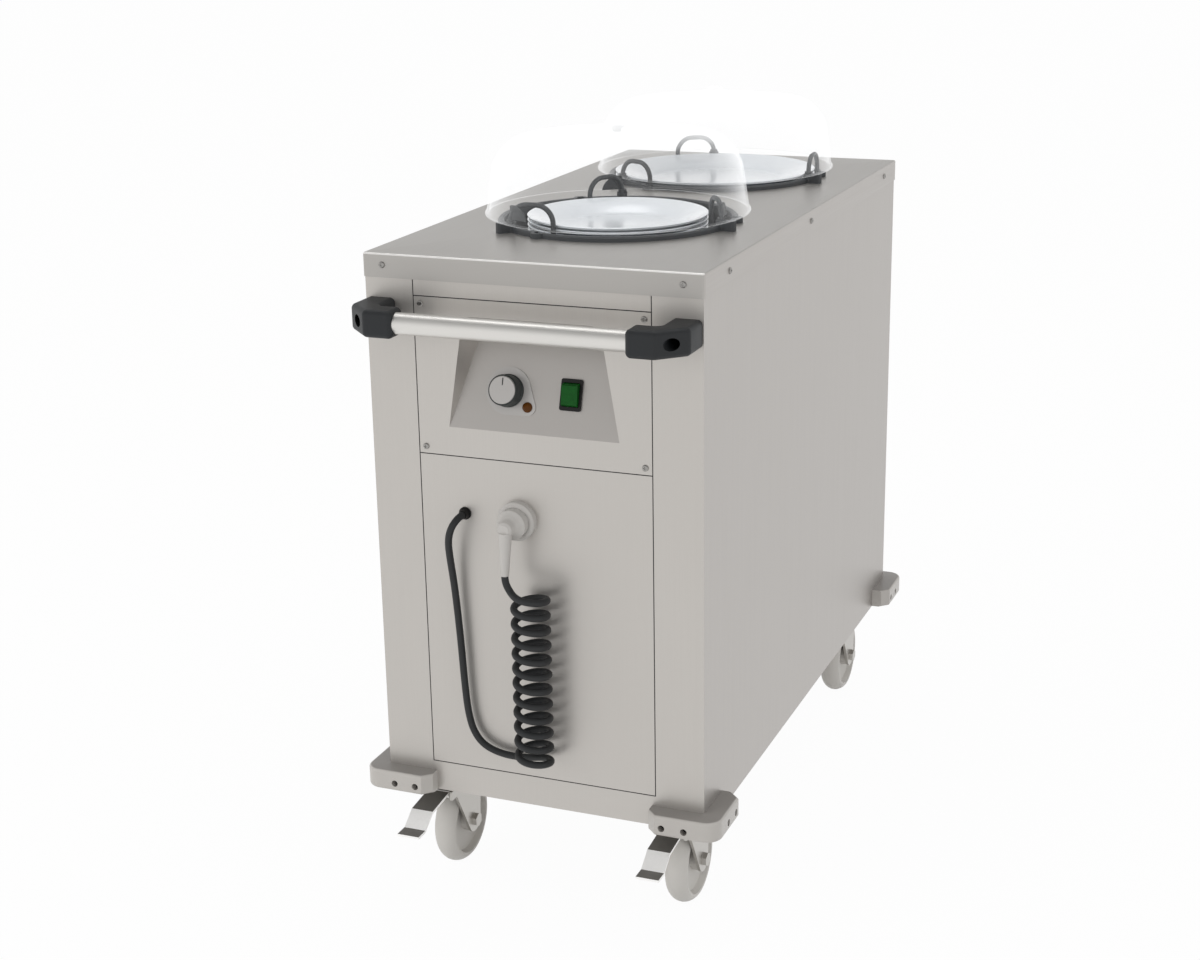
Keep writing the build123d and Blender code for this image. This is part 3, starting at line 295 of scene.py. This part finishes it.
def clear_shell(name, colour):
    """Thin clear plastic that thickens to a pale veil where it is seen edge on; the veil glows
    faintly, painted light that keeps it as white as the backdrop.
    """
    surface = Surface(name)
    # Painted light: the shell glows faintly in its own colour
    surface.set(Roughness=0.2, Emission_Color=colour, Emission_Strength=0.35)
    swell = surface.noise((14.0, 14.0, 14.0), detail=1.0)
    tint = surface.mix(surface.remap(swell, 0.0, 1.0), scaled(colour, 0.97), colour)
    surface.join(tint, surface.shader.inputs["Base Color"])
    edge = surface.add("ShaderNodeLayerWeight", Blend=0.5)
    curve = surface.reckon("POWER", edge.outputs["Facing"], veil_power)
    veil = surface.remap(curve, veil_through, veil_edge, start=0.0, end=1.0)
    surface.join(veil, surface.shader.inputs["Alpha"])
    return surface.material


def lens(name, colour, glow):
    """Coloured translucent plastic of a lamp or a lit rocker."""
    surface = Surface(name)
    surface.set(Roughness=0.35, Specular_IOR_Level=0.15, Emission_Color=colour,
                Emission_Strength=glow)
    cloud = surface.noise((160.0, 160.0, 160.0), detail=2.0)
    tint = surface.mix(surface.remap(cloud, 0.0, 1.0), scaled(colour, 0.85), scaled(colour, 1.15))
    surface.join(tint, surface.shader.inputs["Base Color"])
    return surface.material


upright_grain = (900.0, 900.0, 6.0)
lengthwise_grain = (900.0, 6.0, 900.0)
crosswise_grain = (6.0, 900.0, 900.0)
body_colour = srgb(194, 190, 185)
# Painted shade: the cabinet's and cover's sides take a darker copy of the body's colour
painted_side_shade = srgb(183, 179, 175)

materials = {
    "cabinet_steel": brushed_metal("cabinet_steel", body_colour, upright_grain,
                                   turned=("X", 0.6, 0.8, painted_side_shade)),
    # Painted shade: the recess's leaning floor, which faces up, takes a darker copy of the body's
    # colour
    "recess_steel_painted_shade": brushed_metal("recess_steel_painted_shade", body_colour, upright_grain,
                                  turned=("Z", 0.15, 0.27, srgb(174, 170, 166))),
    # Painted shade and highlight: the cover's steel is a darker copy of the body's for its less lit
    # top, with a painted shade on its sides and a painted highlight on its rounded front edge
    "worktop_steel_painted_light": brushed_metal("worktop_steel_painted_light", srgb(176, 173, 169), lengthwise_grain,
                                   turned=("X", 0.6, 0.8, painted_side_shade), fold_highlight=srgb(252, 250, 247)),
    # Painted shade: the liner's dark grey stands in for the shade inside the wells
    "liner_steel": brushed_metal("liner_steel", srgb(74, 74, 75), upright_grain, metallic=0.4,
                                 roughness=(0.5, 0.6)),
    "fastener_steel": brushed_metal("fastener_steel", srgb(160, 158, 155), (400.0, 400.0, 400.0),
                                    metallic=0.9, roughness=(0.25, 0.35)),
    "spring_steel": brushed_metal("spring_steel", srgb(120, 120, 120), crosswise_grain),
    "heater_steel": brushed_metal("heater_steel", srgb(90, 86, 84), crosswise_grain),
    "caster_steel": brushed_metal("caster_steel", srgb(186, 183, 178), (300.0, 300.0, 300.0),
                                  metallic=0.85, roughness=(0.28, 0.36)),
    # Painted light: the pedals' near-white paints the light reflected by their steep middle faces, and
    # their level faces take a painted shade for the dark they reflect
    "pedal_steel_painted_light": brushed_metal("pedal_steel_painted_light", srgb(250, 249, 247), (300.0, 300.0, 300.0),
                                 metallic=0.3, turned=("Z", 0.86, 0.93, srgb(110, 108, 104))),
    "handle_aluminium": brushed_metal("handle_aluminium", srgb(220, 218, 214), crosswise_grain,
                                      metallic=0.9, roughness=(0.36, 0.44)),
    "knob_cap_aluminium": brushed_metal("knob_cap_aluminium", srgb(176, 173, 170),
                                        (1500.0, 1500.0, 1500.0), metallic=0.5),
    "bracket_plastic": moulded("bracket_plastic", srgb(36, 38, 40), 0.5, shine=0.3),
    # Painted shade: the bumpers' top faces take a darker shade for the dark cabinet over them
    "bumper_plastic": moulded("bumper_plastic", srgb(182, 178, 173), 0.32, contrast=0.02,
                              turned=("Z", 0.8, 0.98, srgb(138, 134, 130))),
    "knob_plastic": moulded("knob_plastic", srgb(46, 50, 49), 0.45, shine=0.35),
    # Painted shade: the dial plate is darkened to match the recess's painted shade
    "dial_plastic": moulded("dial_plastic", srgb(172, 169, 166), 0.4, contrast=0.02),
    "bezel_plastic": moulded("bezel_plastic", srgb(22, 21, 21), 0.45, shine=0.25),
    "rocker_green": lens("rocker_green", srgb(10, 72, 20), 0.03),
    "lamp_amber": lens("lamp_amber", srgb(78, 44, 8), 0.04),
    "dome_clear": clear_shell("dome_clear", srgb(250, 251, 252)),
    "porcelain": glazed("porcelain", srgb(238, 242, 246)),
    "guide_coating": moulded("guide_coating", srgb(68, 70, 72), 0.45, contrast=0.04, shine=0.35),
    "cord_rubber": moulded("cord_rubber", srgb(40, 41, 42), 0.5, strength=0.08, shine=0.3),
    "plug_plastic": moulded("plug_plastic", srgb(184, 181, 177), 0.42, contrast=0.02),
    "wheel_rubber": moulded("wheel_rubber", srgb(198, 195, 190), 0.5, contrast=0.02),
    # Near-black for the printed pointer, and painted shade on the seam strips and the socket screws in
    # the bumpers' holes
    "ink_and_painted_shade": moulded("ink_and_painted_shade", srgb(28, 27, 28), 0.5)}


def dress(piece, slot, material=None):
    """Gives a piece its finish, which is the material of the record's slot unless another is named."""
    piece.data.materials.clear()
    piece.data.materials.append(materials[material or slot])


def soften(piece, angle):
    """Rounds the shading of curved faces and keeps true edges crisp."""
    mesh = piece.data
    if "custom_normal" in mesh.attributes:
        mesh.attributes.remove(mesh.attributes["custom_normal"])
    mesh.shade_smooth()
    weld = piece.modifiers.new("weld", "WELD")
    weld.merge_threshold = 1e-6
    split = piece.modifiers.new("split", "EDGE_SPLIT")
    split.split_angle = math.radians(angle)


def dress_frame():
    """Gives every piece of the frame its material and shading."""
    for name, piece in nodes.items():
        dress(piece, slots[name], finishes.get(name))
        soften(piece, crisp_angles.get(name, crisp_angle))


def arc_points(first, middle, last, count):
    """Points on the circle through three (radius, height) points, from first to last."""
    (ax, ay), (bx, by), (cx, cy) = first, middle, last
    d = 2 * (ax * (by - cy) + bx * (cy - ay) + cx * (ay - by))
    a2, b2, c2 = ax * ax + ay * ay, bx * bx + by * by, cx * cx + cy * cy
    ox = (a2 * (by - cy) + b2 * (cy - ay) + c2 * (ay - by)) / d
    oy = (a2 * (cx - bx) + b2 * (ax - cx) + c2 * (bx - ax)) / d
    radius = math.hypot(ax - ox, ay - oy)
    start = math.atan2(ay - oy, ax - ox)
    end = math.atan2(cy - oy, cx - ox)
    angles = [start + (end - start) * i / count for i in range(count + 1)]
    return [(ox + radius * math.cos(a), oy + radius * math.sin(a)) for a in angles]


def rounded(points, rounds):
    """Cuts the corners of an open line so many times, and keeps its two ends."""
    for _ in range(rounds):
        cut = [points[0]]
        for (r0, z0), (r1, z1) in zip(points, points[1:]):
            cut.append((0.75 * r0 + 0.25 * r1, 0.75 * z0 + 0.25 * z1))
            cut.append((0.25 * r0 + 0.75 * r1, 0.25 * z0 + 0.75 * z1))
        points = cut + [points[-1]]
    return points


def lathe(name, outlines, centre_x, centre_y, base):
    """Closed solids turned about an upright axis; points on the axis share one vertex."""
    vertices = []
    faces = []
    for outline in outlines:
        rings = []
        for radius, height in outline:
            if radius < 1e-6:
                rings.append([len(vertices)])
                vertices.append((centre_x, centre_y, base + height))
                continue
            rings.append(list(range(len(vertices), len(vertices) + lathe_sides)))
            for i in range(lathe_sides):
                angle = 2 * math.pi * i / lathe_sides
                vertices.append((centre_x + radius * math.cos(angle),
                                 centre_y + radius * math.sin(angle), base + height))
        for lower, upper in zip(rings, rings[1:] + rings[:1]):
            if len(lower) == 1 and len(upper) == 1:
                continue
            for i in range(lathe_sides):
                j = (i + 1) % lathe_sides
                if len(lower) == 1:
                    faces.append((lower[0], upper[j], upper[i]))
                elif len(upper) == 1:
                    faces.append((lower[i], lower[j], upper[0]))
                else:
                    faces.append((lower[i], lower[j], upper[j], upper[i]))
    mesh = bpy.data.meshes.new(name)
    mesh.from_pydata(vertices, [], faces)
    mesh.validate()
    mesh.shade_smooth()
    mesh.set_sharp_from_angle(angle=math.radians(lathe_crease))
    piece = bpy.data.objects.new(name, mesh)
    bpy.context.scene.collection.objects.link(piece)
    return piece


def dome_outline():
    """Thin wall from a lipped foot over a round shoulder to a nearly flat crown."""
    shoulder, turn, brow = dome_shoulder, dome_turn, dome_brow
    foot, foot_height = dome_foot
    crown, crown_height = dome_crown
    t = dome_wall
    outer = arc_points(shoulder, turn, brow, arc_steps) + [dome_crown, (0.0, crown_height)]
    # The inner points lie about one wall away, inwards at the turn and more downwards at the brow
    inner_turn = (turn[0] - 0.8 * t, turn[1] - 0.6 * t)
    inner_brow = (brow[0] - 0.4 * t, brow[1] - t)
    inner = arc_points((shoulder[0] - t, shoulder[1]), inner_turn, inner_brow, arc_steps)
    under = crown_height - t
    inner = [(foot - t, foot_height)] + inner + [(crown, under), (0.0, under)]
    rim = [(foot + dome_lip, foot_height), (foot + dome_lip, foot_height + dome_lip_height),
           (foot + dome_lip_root[0], foot_height + dome_lip_root[1])]
    return rim + outer + list(reversed(inner))


def dome_button_outline():
    """Button on a waisted stem, sunk a little into the crown."""
    top = dome_button_top
    foot = dome_crown[1] - 0.0005
    stem = dome_button_stem
    edge = dome_button_radius
    return [(0.0, foot), (stem, foot), (stem - 0.0005, foot + 0.0035), (edge - 0.0005, foot + 0.0070),
            (edge, foot + 0.0085), (edge, top - 0.0030), (edge - 0.0010, top - 0.0010),
            (edge - 0.0035, top), (0.0, top)]


def plate_outline(radius, foot):
    """Shallow porcelain plate with a foot ring, a flat well and a rising rim."""
    ring = radius * plate_ring_share
    well_edge = radius * plate_well_share
    floor = plate_floor
    rim = plate_height
    top = [(0.0, floor), (well_edge - 0.006, floor), (well_edge + 0.002, floor + 0.0008),
           (well_edge + 0.010, floor + 0.006), (radius - 0.020, rim - 0.0055),
           (radius - 0.006, rim - 0.0012), (radius - 0.002, rim), (radius, rim - 0.0012)]
    under = [(radius - 0.001, rim - 0.0036), (radius - 0.016, rim - 0.0085),
             (well_edge + 0.012, 0.0040), (well_edge + 0.002, 0.0024), (ring + 0.004, 0.0024),
             (ring + 0.002, 0.0), (ring - 0.003, 0.0), (ring - 0.004, 0.0020), (0.0, 0.0020)]
    upper = rounded(top, rounds=2)
    lower = rounded(under, rounds=1)
    return [(r, z + foot) for r, z in reversed(upper + lower)]


def add_boxes(name, boxes, axes=None, origin=(0.0, 0.0, 0.0)):
    """Boxes between low and high corners, along the given axes from an origin."""
    vertices = []
    faces = []
    for low, high in boxes:
        first = len(vertices)
        vertices += [(x, y, z) for x in (low[0], high[0]) for y in (low[1], high[1])
                     for z in (low[2], high[2])]
        faces += [tuple(first + i for i in side) for side in
                  ((0, 1, 3, 2), (4, 6, 7, 5), (0, 4, 5, 1), (2, 3, 7, 6), (0, 2, 6, 4), (1, 5, 7, 3))]
    mesh = bpy.data.meshes.new(name)
    mesh.from_pydata(vertices, [], faces)
    if axes:
        turn = Matrix(axes).transposed().to_4x4()
        mesh.transform(Matrix.Translation(origin) @ turn)
    mesh.validate()
    piece = bpy.data.objects.new(name, mesh)
    bpy.context.scene.collection.objects.link(piece)
    return piece


def build_pointer():
    """Printed mark on the knob's cap, from its rim towards its middle."""
    turn = next(j for j in frame["record"]["behaviour"]["joints"] if j["name"] == "knob_turn")
    out = -Vector(turn["axis"]).normalized()
    across = Vector((1.0, 0.0, 0.0))
    pivot = Vector(turn["pos_m"])
    cap = nodes["knob_cap"]
    spots = [cap.matrix_world @ vertex.co - pivot for vertex in cap.data.vertices]
    face = max(spot.dot(out) for spot in spots)
    radius = max(spot.x for spot in spots)
    half = pointer_width / 2
    low = (-half, pointer_ends[0] * radius, face + pointer_faces[0])
    high = (half, pointer_ends[1] * radius, face + pointer_faces[1])
    mark = add_boxes("knob_pointer", [(low, high)], (across, out.cross(across), out), pivot)
    dress(mark, "knob_plastic", "ink_and_painted_shade")
    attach(mark, "knob")


def build_seam_shade_strips():
    """Dark strips in the gaps round the front panels: painted shade for the narrow gaps."""
    boxes = []
    y0, y1 = (front_face + depth for depth in panel_gap_faces)
    for name in ("lower_front_panel", "control_panel", "header_strip"):
        low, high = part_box(name)
        foot = low.z - panel_gap
        for x0, x1, z0, z1 in ((low.x - panel_gap, low.x, foot, high.z),
                               (high.x, high.x + panel_gap, foot, high.z),
                               (low.x, high.x, foot, low.z)):
            boxes.append(((x0, y0, z0), (x1, y1, z1)))
    seam_shade_strips = add_boxes("panel_seam_shade_strips", boxes)
    dress(seam_shade_strips, "cabinet_steel", "ink_and_painted_shade")
    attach(seam_shade_strips, "root")


def build_domes():
    for well, centre in centre_of.items():
        shell = lathe("clear_dome_" + well, [dome_outline()], centre.x, centre.y, cover_top)
        button = lathe("dome_button_" + well, [dome_button_outline()], centre.x, centre.y, cover_top)
        for piece in (shell, button):
            dress(piece, "dome_clear")
            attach(piece, "dome_" + well)
        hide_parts("dome_" + well)


def build_plates():
    for well, centre in centre_of.items():
        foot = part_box("plates_" + well)[0].z
        outlines = [plate_outline(plate_radius[well], i * plate_pitch) for i in range(plate_count)]
        stack = lathe("porcelain_plates_" + well, outlines, centre.x, centre.y, foot)
        dress(stack, "porcelain")
        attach(stack, "carrier_" + well)
        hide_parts("plates_" + well)


def coil_point(angle, radius):
    """Point on the hanging coil; it descends as the angle grows."""
    turns = (angle - coil_near_angle) / 360.0
    a = math.radians(angle)
    return Vector((coil_x + radius * math.cos(a), front - coil_standoff + radius * math.sin(a),
                   coil_top - coil_pitch * turns))


def coil_heading(angle):
    """Direction in which the coil runs down at an angle."""
    a = math.radians(angle)
    drop = coil_pitch / (2 * math.pi)
    return Vector((-coil_radius * math.sin(a), coil_radius * math.cos(a), -drop)).normalized()


def cord_points():
    """Where the cord leaves the gland, and its points from there up the coil to the plug."""
    gland_low, gland_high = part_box("cord_gland")
    mouth = Vector(((gland_low.x + gland_high.x) / 2, gland_low.y, (gland_low.z + gland_high.z) / 2))
    points = [mouth] + [Vector((x, front + y, z)) for x, y, z in lead_route]
    end = coil_point(coil_last_angle, coil_radius)
    out = coil_heading(coil_last_angle)
    meet = end + out * cord_diameter
    points += [meet + out * coil_foot_run, meet]
    steps = round((coil_last_angle - coil_first_angle) / coil_step)
    step = (coil_last_angle - coil_first_angle) / steps
    points += [coil_point(coil_last_angle - step * i, coil_control_radius) for i in range(steps + 1)]
    tail = Vector((plug_exit[0], front + plug_exit[1], plug_exit[2]))
    points.append(points[-1] - coil_heading(coil_first_angle) * coil_head_run)
    points += [tail - Vector((0, 0, cord_diameter)), tail]
    return mouth, points


def build_cord():
    """One smooth tube for the lead and the coil, which the plug hangs on."""
    exit_point, points = cord_points()
    curve = bpy.data.curves.new("mains_cord", "CURVE")
    curve.dimensions = "3D"
    spline = curve.splines.new("NURBS")
    spline.points.add(len(points) - 1)
    for control, point in zip(spline.points, points):
        control.co = (point.x, point.y, point.z, 1.0)
    spline.order_u = 3
    spline.use_endpoint_u = True
    spline.resolution_u = 5
    curve.bevel_depth = cord_diameter / 2
    curve.bevel_resolution = 5
    curve.use_fill_caps = True
    cord = bpy.data.objects.new("mains_cord", curve)
    bpy.context.scene.collection.objects.link(cord)
    curve.materials.append(materials["cord_rubber"])
    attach(cord, "root")
    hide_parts("cord_lead", "cord_coil")


def build_camera():
    data = bpy.data.cameras.new("camera")
    data.sensor_width = sensor_width
    data.lens = camera_lens
    data.clip_end = 100.0
    camera = bpy.data.objects.new("camera", data)
    axes = Matrix((camera_right, camera_up, camera_back)).transposed().to_4x4()
    camera.matrix_world = Matrix.Translation(camera_place) @ axes
    bpy.context.scene.collection.objects.link(camera)
    bpy.context.scene.camera = camera


def build_world():
    """Even pale light; metal sees the sky darken overhead, and the eye sees plain white."""
    world = bpy.data.worlds.new("studio")
    bpy.context.scene.world = world
    world.use_nodes = True
    tree = world.node_tree
    background = tree.nodes["Background"]
    background.inputs["Color"].default_value = (1.0, 1.0, 1.0, 1.0)
    place = tree.nodes.new("ShaderNodeTexCoord")
    split = tree.nodes.new("ShaderNodeSeparateXYZ")
    tree.links.new(place.outputs["Generated"], split.inputs["Vector"])
    sky = tree.nodes.new("ShaderNodeMapRange")
    sky.inputs["From Min"].default_value = sky_change[0]
    sky.inputs["From Max"].default_value = sky_change[1]
    sky.inputs["To Min"].default_value = 1.0
    sky.inputs["To Max"].default_value = sky_overhead
    tree.links.new(split.outputs["Z"], sky.inputs["Value"])
    path = tree.nodes.new("ShaderNodeLightPath")
    level = world_light
    for ray, seen in (("Is Glossy Ray", sky.outputs["Result"]), ("Is Transmission Ray", 1.0),
                      ("Is Camera Ray", 1.0)):
        choice = tree.nodes.new("ShaderNodeMix")
        tree.links.new(path.outputs[ray], choice.inputs["Factor"])
        for target, value in ((choice.inputs[2], level), (choice.inputs[3], seen)):
            if isinstance(value, float):
                target.default_value = value
            else:
                tree.links.new(value, target)
        level = choice.outputs[0]
    tree.links.new(level, background.inputs["Strength"])


def build_floor():
    """Wide floor that takes soft shade but shows plain white to the eye and in metal."""
    mesh = bpy.data.meshes.new("floor")
    half = floor_half
    mesh.from_pydata([(-half, -half, 0), (half, -half, 0), (half, half, 0), (-half, half, 0)], [],
                     [(0, 1, 2, 3)])
    floor = bpy.data.objects.new("floor", mesh)
    bpy.context.scene.collection.objects.link(floor)
    surface = Surface("floor")
    surface.set(Base_Color=(floor_shade, floor_shade, floor_shade, 1.0), Roughness=0.9,
                Specular_IOR_Level=0.1)
    tree = surface.tree
    white = surface.add("ShaderNodeEmission")
    path = surface.add("ShaderNodeLightPath")
    seen = path.outputs["Is Camera Ray"]
    for name in ("Is Glossy Ray", "Is Transmission Ray"):
        seen = surface.reckon("MAXIMUM", seen, path.outputs[name])
    share = surface.remap(seen, 0.0, floor_whiteness, start=0.0, end=1.0)
    blend = tree.nodes.new("ShaderNodeMixShader")
    surface.join(share, blend.inputs["Fac"])
    surface.join(surface.shader.outputs["BSDF"], blend.inputs[1])
    surface.join(white.outputs["Emission"], blend.inputs[2])
    surface.join(blend.outputs["Shader"], tree.nodes["Material Output"].inputs["Surface"])
    mesh.materials.append(surface.material)


def soft_light(name, place, width, height, power, glints=False):
    """Rectangular light that gives either soft light or only its glint on shiny faces."""
    data = bpy.data.lights.new(name, "AREA")
    data.shape = "RECTANGLE"
    data.size = width
    data.size_y = height
    data.energy = power
    light = bpy.data.objects.new(name, data)
    light.visible_glossy = glints
    light.visible_diffuse = not glints
    aim = Vector(lights_aim) - Vector(place)
    light.matrix_world = Matrix.Translation(place) @ aim.to_track_quat("-Z", "Y").to_matrix().to_4x4()
    bpy.context.scene.collection.objects.link(light)


def build_lights():
    soft_light("key", (-2.4, -3.6, 1.5), width=2.4, height=1.8, power=46.0)
    soft_light("fill", (3.4, -1.2, 1.3), width=2.0, height=1.8, power=11.0)
    soft_light("overhead", (0.3, 0.6, 3.6), width=2.4, height=2.4, power=7.0)
    soft_light("edge_glint", (0.0, 0.4, 4.2), width=4.5, height=1.2, power=45.0, glints=True)


build_camera()
build_cord()
dress_frame()
build_domes()
build_plates()
build_pointer()
build_seam_shade_strips()
build_world()
build_floor()
build_lights()

view = bpy.context.scene.view_settings
view.view_transform = "Standard"
